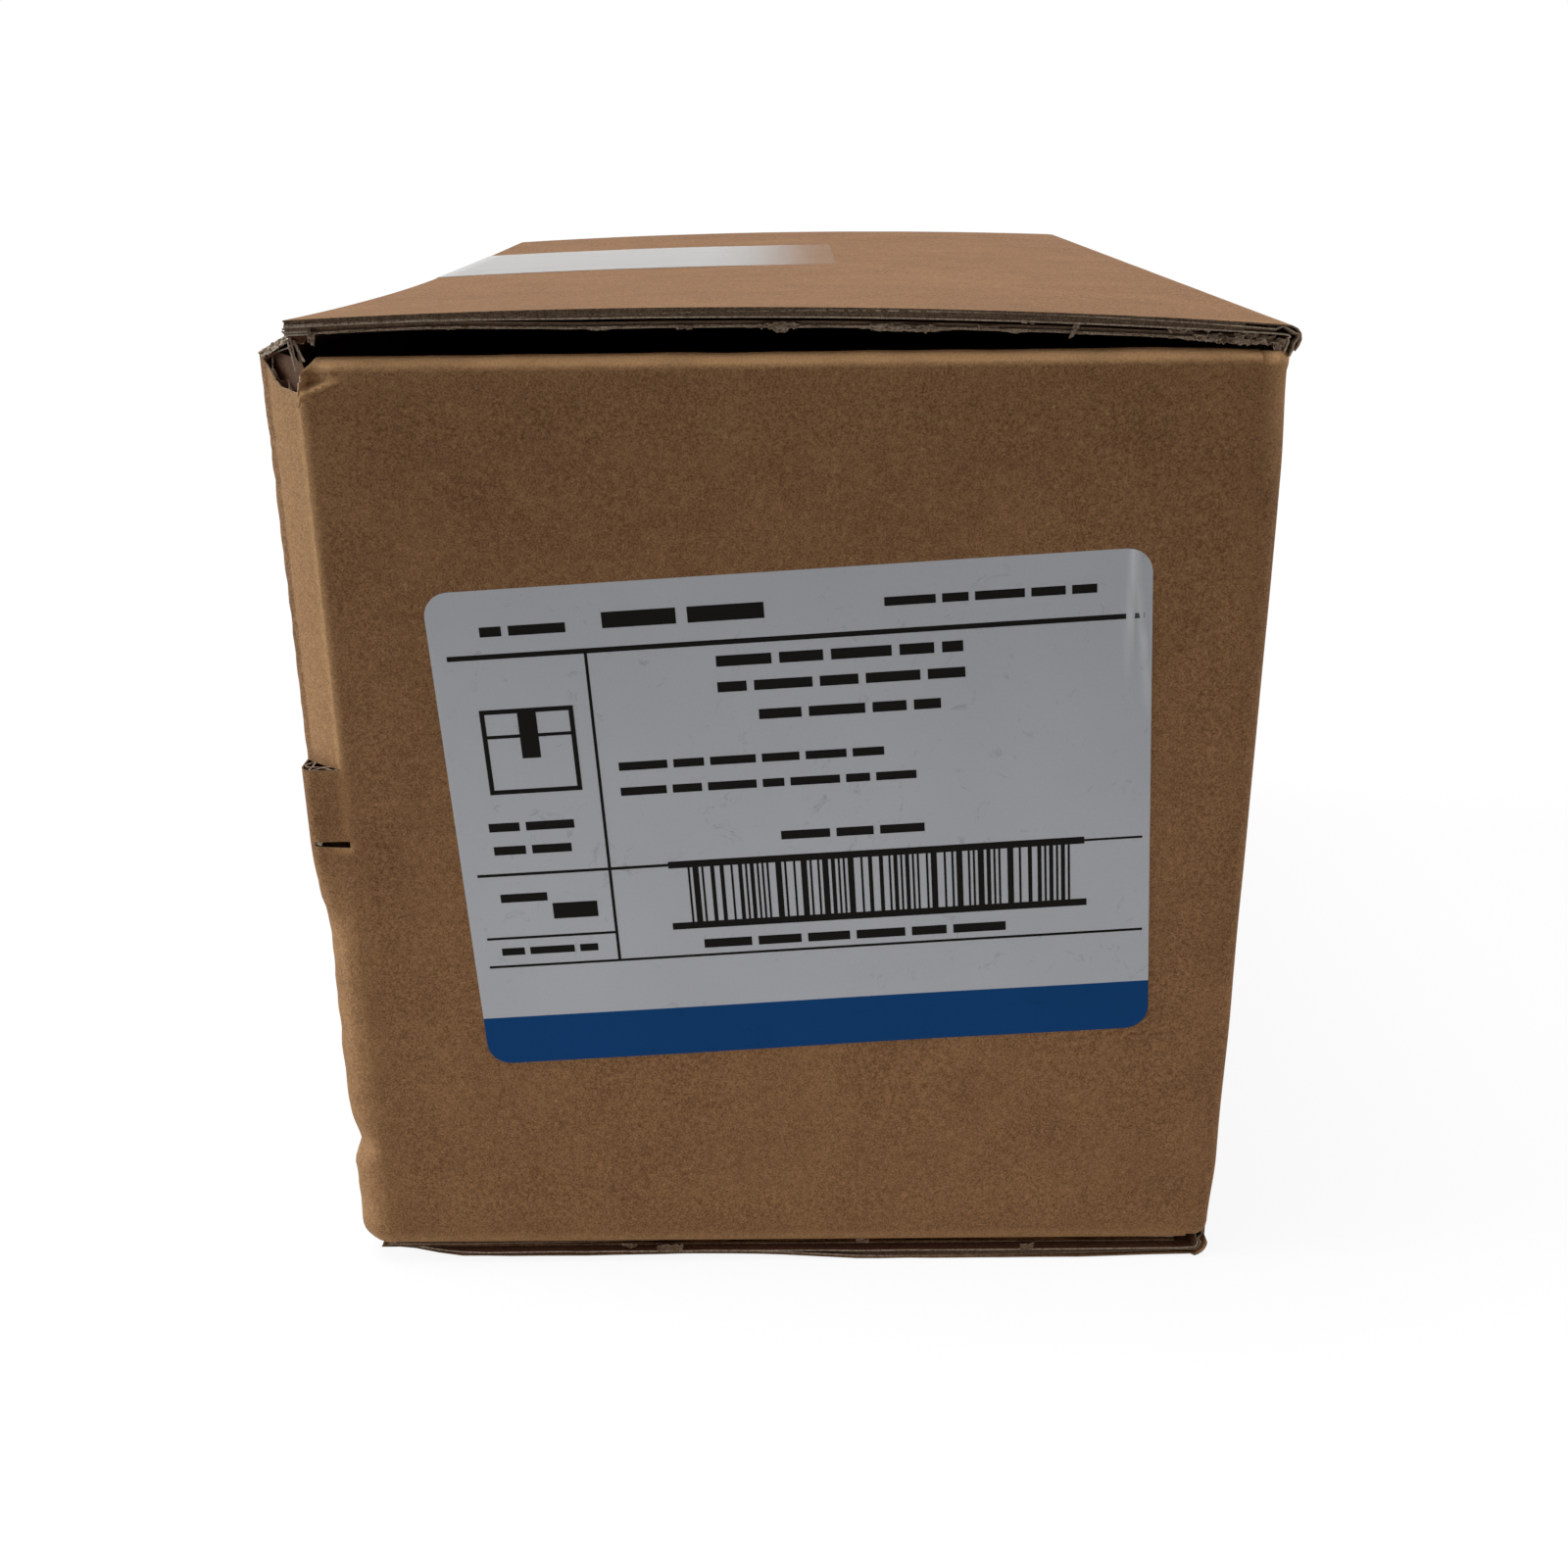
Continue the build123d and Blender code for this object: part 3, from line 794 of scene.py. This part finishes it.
# A hanging tuft and a sliver under the lid, the two webs of the torn corner, and a lip at the die-cut slot.
# The pieces in the darkened back liner, a panel in the corner's gap among them, are painted shade there.
# Each: two upper and two lower corners, then rows, seed, how frayed and how rough, and the paper.
for corners, rows, seed, ragged, relief, material in (
        (((-61.4, -105.9, 147.3), (-60.2, -105.9, 147.3),
          (-61.1, -106.3, 146.1), (-60.3, -106.3, 145.8)), 6, -61.4, 0.6, 0.6, TORN),
        (((-69, -102.6, 144.4), (-64.2, -105.1, 146.9),
          (-68.7, -102.8, 143.5), (-64.4, -105.4, 145.8)), 5, -69, 0.45, 0.5, TORN),
        (((-64.9, -105.1, 147.3), (-61.2, -105.4, 147),
          (-63.4, -105.4, 145.9), (-61.8, -105.7, 145.8)), 5, -64.9, 0.4, 0.4, BACK),
        (((40.3, -105.6, 147.3), (41.2, -105.6, 147.2),
          (39.6, -106.2, 145.5), (40.1, -106.2, 145.5)), 8, 40.3, 0.3, 0.3, TORN),
        (((-63.9, -105.5, 146.6), (-63.6, -105.7, 146.6),
          (-62.9, -106.9, 142.6), (-62.75, -107, 142.9)), 9, -63.9, 0.3, 0.15, BACK),
        (((-64.3, -105.3, 146.2), (-64.05, -105.3, 146.2),
          (-63.2, -106.8, 142.3), (-63, -106.8, 142.3)), 9, -64.3, 0.2, 0.15, TORN),
        (((-63.5, -105.6, 146.2), (-63.1, -105.6, 146.2),
          (-61.9, -107.2, 143.6), (-61.6, -107.2, 143.6)), 9, -63.5, 0.2, 0.15, TORN),
        (((-63.1, -105.8, 145.6), (-62.8, -105.8, 145.6),
          (-62.3, -106.9, 143), (-62.1, -106.9, 143)), 8, -63.1, 0.2, 0.15, FLUTE),
        (((-68.2, -107, 74.5), (-66.7, -107.35, 74.6),
          (-68, -107.1, 74.1), (-67, -107.4, 73.95)), 4, 2, 0.3, 0.15, TORN)):
    lay_tatter(scraps_mesh, corners, rows, seed, ragged, relief, material)
# Crushed spots under the front wall, and stray shreds on its face.
for x0, x1, z0, z1, y, ragged, relief in (
        (-20.3, -16, 2.9, 1.7, -107.05, 0.9, 0.6), (-26, -23.4, 3, 2.5, -106.9, 0.5, 0.3),
        (38.6, 40.9, 2.6, 1.3, -107.1, 1, 0.4), (12, 14.2, 3.6, 3, -107, 0.4, 0.3),
        (-54.4, -53.6, 18.7, 18.5, -107.35, 0.1, 0.05), (-51.3, -50.7, 17.5, 17.3, -107.35, 0.1, 0.05)):
    corners = ((x0, y, z0), (x1, y, z0), (x0 + 0.2, y, z1), (x1 - 0.2, y, z1))
    lay_tatter(scraps_mesh, corners, 4, x0, ragged, relief, FLUTE)
scraps = finish_paper("torn_scraps", scraps_mesh, thickness=0.12, rim=TORN)
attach(scraps, "root")
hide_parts("carton")

# ----------------------------------
# Base. The same two long flaps close the bottom, glued face to face: the outer one, hinged on
# the right wall, lies on the ground and the inner one is set back over it.
crushed_up = [(-70, 1.4), (-60, 1.25), (-52, 1.05), (-33, 0.95), (-20, 1.15), (-17, 1.25), (-9, 1.2), (-2, 1),
              (5.6, 0.5), (13, 0), (50, 0), (60, 0.35), (70, 0.5)]


def lay_base_flap(bm, hinge, level, setback, seed):
    """Both liners of a base flap, from its wall's score round the fold, and its medium at the cut ends."""
    away = 1 if hinge < 0 else -1
    on_ground = level == 0
    hub_x, hub_z = hinge + away * fold, level + fold
    line = [Vector((hinge, z)) for z in (score_low, (score_low + hub_z) / 2 + 0.01, hub_z)]
    line += arc(hub_x, hub_z, away * fold, -fold, round_fold)
    line += [Vector((x, level)) for x in spaced(hub_x + 2 * away, -hinge - away * free_gap, 32)]
    free = line[-1].x
    ys = [front + setback, front + setback + 0.8, -slot_end, bevel_y, front + 7]
    ys += spaced(front + 12, rear - 12, 24) + [slot_end, rear - setback]

    def place(p, y, end=0):
        """A point of the flap. The outer one takes the knocks: its edge is crushed, its corner worn."""
        if not on_ground:
            return Vector((p.x, y + end, p.y))
        squeeze = between(crushed_up, p.x) * ramp(front + 6, front + 0.8, y) * max(0, 1 - p.y / 1.7)
        worn = 2.5 * ramp(-50, -65, p.x) * ramp(front + 14, front + 1, y)
        return Vector((p.x, y + end + worn, p.y + (squeeze if abs(p.x) < 66.6 else 0)))

    def beside_corners(m):
        """The folds beside the walls' corners, where the blank is slotted or crushed."""
        limit = bevel_y if hinge < 0 else -slot_end
        return (m.y < limit or m.y > slot_end) and (m.z > 3.3 if hinge > 0 else m.x < left + 4)

    for share, material, ragged in ((0, FACE, 0.2), (1, BACK, 0.35)):
        lines = []
        for n, y in enumerate(ys):
            end = ragged if n == 0 else -ragged if n == len(ys) - 1 else 0
            tuck = 0.9 * ramp(front + 26, front + 5, y) if hinge < 0 else 0
            row = [place(p, y, end * abs(uneven(p.x / 1.1, seed, share)))
                   for p in inset(line, share * inner_face, away)]
            for p in row:
                p.x += tuck * ramp(left + 6, left + 3, p.x)
            lines.append(row)
        cut_away(bm, lay_sheet(bm, lines, (0, 0, -1), material), beside_corners)
    for start, end in ((front + setback + 0.3, front + setback + flute_strip),
                       (rear - setback - flute_strip, rear - setback - 0.3)):
        flutes = [[place(p, y) for p in inset(line, lambda k: flute_wave(y, line[k].x), away)]
                  for y in spaced(start, end, 16)]
        cut_away(bm, lay_sheet(bm, flutes, (0, 0, -1), FLUTE), beside_corners)
    lay_sheet(bm, [[(x, y, level + flute_wave(y, x))
                    for x in spaced(free - away * flute_strip, free - away * 0.1, 2)]
                   for y in spaced(front + setback + flute_strip, rear - setback - flute_strip, flute_steps)],
              (0, 0, -1), FLUTE)


base_mesh = bmesh.new()
lay_base_flap(base_mesh, right, 0, flap_setback, 1)
lay_base_flap(base_mesh, left, layer, inner_setback, 2)
base = finish_paper("base_flaps", base_mesh, weld=0.001,
                    wear_and_highlight=lambda p: 0.5 * ramp(right - 3, right - 0.5, abs(p.x)) * ramp(5, 1, p.z))
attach(base, "root")
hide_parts("carton")

# ----------------------------------
# Label. Coated white paper 102 by 75 mm, stuck on 3.2 degrees askew and rubbed at its top right
# corner. The print is plain: rules, plain blocks where lines of type would be, a row of bars and
# a blue band.
label_low, label_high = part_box("front_label")
label_x, label_z = 3.8, (label_low.z + label_high.z) * 500
askew, upright = sin(radians(3.2)), cos(radians(3.2))
label_width, label_height, label_corner = 101.6, 75, 3.5
band_top = -29.5


def label_creases(a, b):
    """How far a place is from each of the two short rubbed creases, and how much each shows there."""
    return ((a - 47.4 - 0.05 * (b - 20), ramp(17, 24, b)), (a - 49.3 + 0.08 * (b - 28), ramp(11, 18, b)))


def label_place(a, b, out):
    """A point of the label, from its own middle, laid on the front wall."""
    x, z = label_x + a * upright - b * askew, label_z + a * askew + b * upright
    (off_0, shows_0), (off_1, shows_1) = label_creases(a, b)
    crease = 0.10 * exp(-(off_0 / 0.45) ** 2) * shows_0 + 0.09 * exp(-(off_1 / 0.35) ** 2) * shows_1
    return Vector((x, front + max(0.02, front_sink(x, z) - crease) - out, z))


def label_wear(p):
    """White scuffs along the creases at the label's right edge."""
    a = (p.x - label_x) * upright + (p.z - label_z) * askew
    b = (p.z - label_z) * upright - (p.x - label_x) * askew
    (off_0, shows_0), (off_1, shows_1) = label_creases(a, b)
    scuff = ramp(0.9, 0.1, abs(off_0)) * shows_0 + ramp(0.8, 0.1, abs(off_1)) * shows_1
    return min(1, scuff * (0.7 + 0.8 * uneven(a / 0.7, b / 2.5, 1)))


def coated_paper(name, colour, scuffed, roughness, specular):
    """Coated label stock: smooth, faintly uneven, with grey rub marks and white scuffs."""
    material, tree = blank_material(name)
    at = in_millimetres(tree)
    # The sheet's mottle is 22 mm across, its tooth 0.35 mm.
    mottle = add(tree, "TexNoise", {"Vector": at, "Scale": 1 / 22, "Detail": 2})
    tooth = add(tree, "TexNoise", {"Vector": at, "Scale": 1 / 0.35, "Detail": 2})
    smear = add(tree, "TexNoise", {"Vector": at, "Scale": 1 / 5, "Detail": 5, "Roughness": 0.75,
                                   "Distortion": 1.2})
    shade = add(tree, "MapRange", {0: mottle, 1: 0.3, 2: 0.7, 3: 0.95, 4: 1})
    fibre = add(tree, "MapRange", {0: tooth, 1: 0.3, 2: 0.7, 3: 0.965, 4: 1})
    # Grey rub marks: the peaks of a 5 mm smear, a quarter as dark again as the paper.
    smudge = add(tree, "MapRange", {0: smear, 1: 0.60, 2: 0.74, 3: 1, 4: 0.72})
    tint = add(tree, "Math", {0: shade, 1: fibre}, operation="MULTIPLY")
    tint = add(tree, "Math", {0: tint, 1: smudge}, operation="MULTIPLY")
    body = add(tree, "Mix", {0: tint, 6: [0, 0, 0, 1], 7: linear(colour)}, data_type="RGBA")
    wear_and_highlight = add(tree, "Attribute", attribute_name="wear_and_highlight").outputs["Fac"]
    lightened = add(tree, "Mix", {0: wear_and_highlight, 6: body, 7: linear(scuffed)}, data_type="RGBA")
    bump = add(tree, "Bump", {"Strength": 0.25, "Distance": 0.00003, "Height": tooth})
    paper = add(tree, "BsdfPrincipled", {"Base Color": lightened, "Normal": bump, "Roughness": roughness,
                                         "Specular IOR Level": specular})
    add(tree, "OutputMaterial", {"Surface": paper})
    return material


label_mesh = bmesh.new()
bmesh.ops.create_grid(label_mesh, x_segments=1, y_segments=1, size=0.5)
bmesh.ops.scale(label_mesh, vec=(label_width, label_height, 1), verts=label_mesh.verts)
bmesh.ops.bevel(label_mesh, geom=list(label_mesh.verts), offset=label_corner, affect="VERTICES",
                segments=6, profile=0.5, material=-1)
for axis, stations in ((Vector((1, 0, 0)), spaced(-48, 44, 23) + spaced(44.6, 50.4, 12)),
                       (Vector((0, 1, 0)), [band_top] + spaced(-36, 36, 24))):
    for value in stations:
        sheet = label_mesh.verts[:] + label_mesh.edges[:] + label_mesh.faces[:]
        bmesh.ops.bisect_plane(label_mesh, geom=sheet, plane_co=axis * value, plane_no=axis, dist=1e-5)
for f in label_mesh.faces:
    f.material_index = 1 if f.calc_center_median().y < band_top else 0
    f.smooth = True
for v in label_mesh.verts:
    v.co = label_place(v.co.x, v.co.y, 0.12)
label_mesh.normal_update()
if sum(f.normal.y for f in label_mesh.faces) > 0:
    bmesh.ops.reverse_faces(label_mesh, faces=label_mesh.faces[:])
white_paper = coated_paper("white_label_paper", "#E6E6EA", "#FAFAFA", 0.50, 0.30)
blue_ink = coated_paper("blue_label_ink", "#185494", "#B9C4D2", 0.50, 0.06)
label = finish_paper("front_label", label_mesh, thickness=0.118, wear_and_highlight=label_wear,
                     materials=[white_paper, blue_ink], rim=0)
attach(label, "root")
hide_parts("front_label")

# ----------------------------------
# Label print. Black ink film from a ribbon printer, laid over the label's paper. Plain rules and
# a row of bars that encode nothing, and a plain block wherever a word of type would stand. Each
# shape is its left, right, bottom and top in mm from the label's middle.
rules = [(-48.5, 49.7, 27.5, 28.25), (-29.1, -28.65, -21, 27.9), (-48.6, -20, -5.95, -5.5),
         (41.2, 49.7, -5.95, -5.6), (-48.5, -29, -16.3, -15.9), (-48.7, 49.8, -21, -20.6),
         (-20.2, 41.2, -6.3, -5.2), (-20.4, 41.5, -16.3, -15.2)]
# A plain carton pictogram: outline, lid line and a strip across it.
rules += [(-45, -31.5, 7, 7.7), (-45, -31.5, 19.3, 20), (-45, -44.3, 7.7, 19.3),
          (-32.2, -31.5, 7.7, 19.3), (-44.3, -32.2, 15.6, 16.1), (-39.6, -36.9, 12.4, 19.3)]
type_lines = ((-43.4, -29.9, 30.6, 32.4), (-26.1, -3.3, 30.7, 33.6), (13.5, 43.1, 31.4, 33),
              (-10.6, 24.3, 24.1, 26.1), (-10.7, 24.5, 20.3, 22.2), (-5.1, 20.9, 15.9, 17.8),
              (-25.9, 12.5, 9.4, 11), (-26, 17, 5.5, 7.1), (-45.9, -32.8, 1, 2.7),
              (-45.6, -34.1, -2.7, -1), (-3.2, 18.4, -2.9, -1.2), (-45.6, -38.6, -10.4, -8.7),
              (-38, -31.3, -13.6, -10.4), (-46.5, -31.7, -19.1, -17.6), (-15.9, 31.1, -19.8, -18))
for k, (a0, a1, b0, b1) in enumerate(type_lines):
    a, n, tall = a0, 0, b1 - b0
    while a < a1 - 1.2:
        word = min(a1 - a, (1.9 + 3.1 * abs(sin(2.4 * k + 1.7 * n))) * tall * 0.9)
        rules.append((a, a + word, b0 + 0.1 * tall, b1 - 0.1 * tall))
        a, n = a + word + 0.55 * tall, n + 1
bar_widths, bar_gaps = (0.33, 0.9, 0.33, 0.6, 0.33, 0.33, 0.9), (0.4, 0.8, 0.4, 0.4, 1)
a, n = -17.4, 0
while a < 39.3:
    bar = bar_widths[(n * n + n // 3) % 7]
    rules.append((a, a + bar, -15.3, -6.2))
    a, n = a + bar + bar_gaps[(2 * n + n // 4) % 5], n + 1
print_mesh = bmesh.new()
for a0, a1, b0, b1 in rules:
    sheet = [[label_place(a, b, 0.14) for b in spaced(b0, b1, max(1, round((b1 - b0) / 3)))]
             for a in spaced(a0, a1, max(1, round((a1 - a0) / 3)))]
    lay_sheet(print_mesh, sheet, (0, -1, 0), 0)
black_ink = coated_paper("black_ribbon_ink", "#15130F", "#8F8F90", 0.55, 0.06)
label_print = finish_paper("label_print", print_mesh, thickness=0.012, wear_and_highlight=label_wear,
                           materials=[black_ink], rim=0, weld=0.0001)
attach(label_print, "root")
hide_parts("front_label")

# ----------------------------------
# Tape. Clear polypropylene film 60 mm wide, pulled off a toothed dispenser. It runs from the
# middle of the lid over its free edge and down the left wall.
film, tree = blank_material("clear_tape_film")
at = in_millimetres(tree)
# The film was drawn out lengthwise, so its unevenness lies in streaks 3 mm wide.
stretched = add(tree, "Mapping", {"Vector": at, "Scale": (0.02, 0.35, 0.35)})
streaks = add(tree, "TexNoise", {"Vector": stretched, "Scale": 1, "Detail": 3})
cling = add(tree, "MapRange", {0: streaks, 1: 0.35, 2: 0.65, 3: 0.02, 4: 0.07})
bump = add(tree, "Bump", {"Strength": 0.3, "Distance": 0.00005, "Height": streaks})
# At a glancing angle the film turns from clear to whitish: partly its real gloss, partly a painted reflection
# in its pale base colour, which the alpha brings up.
glance = add(tree, "Fresnel", {"IOR": 1.5, "Normal": bump})
glare = add(tree, "Math", {0: glance, 1: 1, 2: cling}, operation="MULTIPLY_ADD", use_clamp=True)
# Painted reflection: the glare is faded out over 26 mm towards the film's end on the lid.
along = add(tree, "SeparateXYZ", {0: at})
glare_fade = add(tree, "MapRange", {0: along, 1: -16, 2: 10, 3: 1, 4: 0.06}, interpolation_type="SMOOTHSTEP")
glare = add(tree, "Math", {0: glare, 1: glare_fade}, operation="MULTIPLY")
plastic = add(tree, "BsdfPrincipled", {"Base Color": linear("#CFCBC6"), "Alpha": glare, "Normal": bump,
                                       "Roughness": 0.22, "IOR": 1.5, "Specular IOR Level": 0.30})
add(tree, "OutputMaterial", {"Surface": plastic})

tape_clear = 0.10
tape_end_x = free_left + 76
tape_bottom = tape_low.z * 1000


def tape_line(y, tooth):
    """Edge-on line of the tape from its toothed end on the lid to the one on the left wall."""
    over = arc(left + fold, hub_z, fold + tape_clear, fold + tape_clear, (60, 45, 30, 15, 0))
    line = [Vector((x, lid_height(x, y) + tape_clear)) for x in spaced(tape_end_x - tooth, free_left, 24)]
    line += [line[-1].lerp(over[0], k / 3) for k in (1, 2)] + over
    return line + [Vector((left - tape_clear, z)) for z in spaced(139.5, tape_bottom + tooth, 8)]


tape_mesh = bmesh.new()
lay_sheet(tape_mesh, [at_y(y, tape_line(y, 0.7 * (n % 2)))
                      for n, y in enumerate(spaced(tape_front, tape_rear, 60))], (0, 0, 1), 0)
tape = finish_paper("sealing_tape", tape_mesh, thickness=0.05, materials=[film], rim=0)
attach(tape, "root")
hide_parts("sealing_tape")

# ----------------------------------
# Stage. A pale floor, a white surround, and soft even light: from overhead, from the left, and
# a low box in front that stands for the bounce of a table top on the labelled wall.


def shown_white(tree):
    """1 for rays that show the background itself, and 0 for those that only carry light."""
    path = add(tree, "LightPath").outputs
    seen = add(tree, "Math", {0: path["Is Camera Ray"], 1: path["Is Glossy Ray"]}, operation="MAXIMUM")
    return add(tree, "Math", {0: seen, 1: path["Is Transmission Ray"]}, operation="MAXIMUM")


floor_material, tree = blank_material("pale_floor")
amount = add(tree, "Math", {0: shown_white(tree), 1: 0.84}, operation="MULTIPLY")
tone = add(tree, "Mix", {0: shown_white(tree), 6: linear("#807F7D"), 7: (1, 1, 1, 1)}, data_type="RGBA")
matt = add(tree, "BsdfDiffuse", {"Color": tone})
glow = add(tree, "Emission", {"Color": (1, 1, 1, 1), "Strength": 1.08})
both = add(tree, "MixShader", {0: amount, 1: matt, 2: glow})
add(tree, "OutputMaterial", {"Surface": both})
floor_mesh = bmesh.new()
bmesh.ops.create_grid(floor_mesh, x_segments=1, y_segments=1, size=6)
floor_data = bpy.data.meshes.new("floor")
floor_mesh.to_mesh(floor_data)
floor_mesh.free()
floor_data.materials.append(floor_material)
floor = stand("floor", floor_data)
floor.location.z = -0.0002

world = bpy.data.worlds.new("surround")
scene.world = world
world.use_nodes = True
tree = world.node_tree
tree.nodes.clear()
white = add(tree, "Background", {"Color": (1, 1, 1, 1), "Strength": 1})
ambient = add(tree, "Background", {"Color": linear("#F6F8FF"), "Strength": 0.066})
both = add(tree, "MixShader", {0: shown_white(tree), 1: ambient, 2: white})
add(tree, "OutputWorld", {"Surface": both})


def lamp(name, kind, place, strength, **settings):
    """A lamp at a place, aimed at the carton's foot."""
    made = stand(name, bpy.data.lights.new(name, kind))
    made.data.energy = strength
    for key, value in settings.items():
        setattr(made.data, key, value)
    made.location = place
    made.rotation_euler = (-Vector(place)).to_track_quat("-Z", "Y").to_euler()
    made.visible_camera = False


lamp("overhead_light", "SUN", (-0.35, 0.08, 1.30), 1.30, angle=radians(40))
lamp("left_light", "SUN", (-1.5, 0, 0.45), 1.95, angle=radians(36), color=(0.82, 0.92, 1))
lamp("right_light", "SUN", (1.5, 0, 0.25), 0.7, angle=radians(20))
lamp("front_bounce", "AREA", (-0.02, -0.27, 0.012), 0.094, shape="RECTANGLE", size=0.34, size_y=0.03)
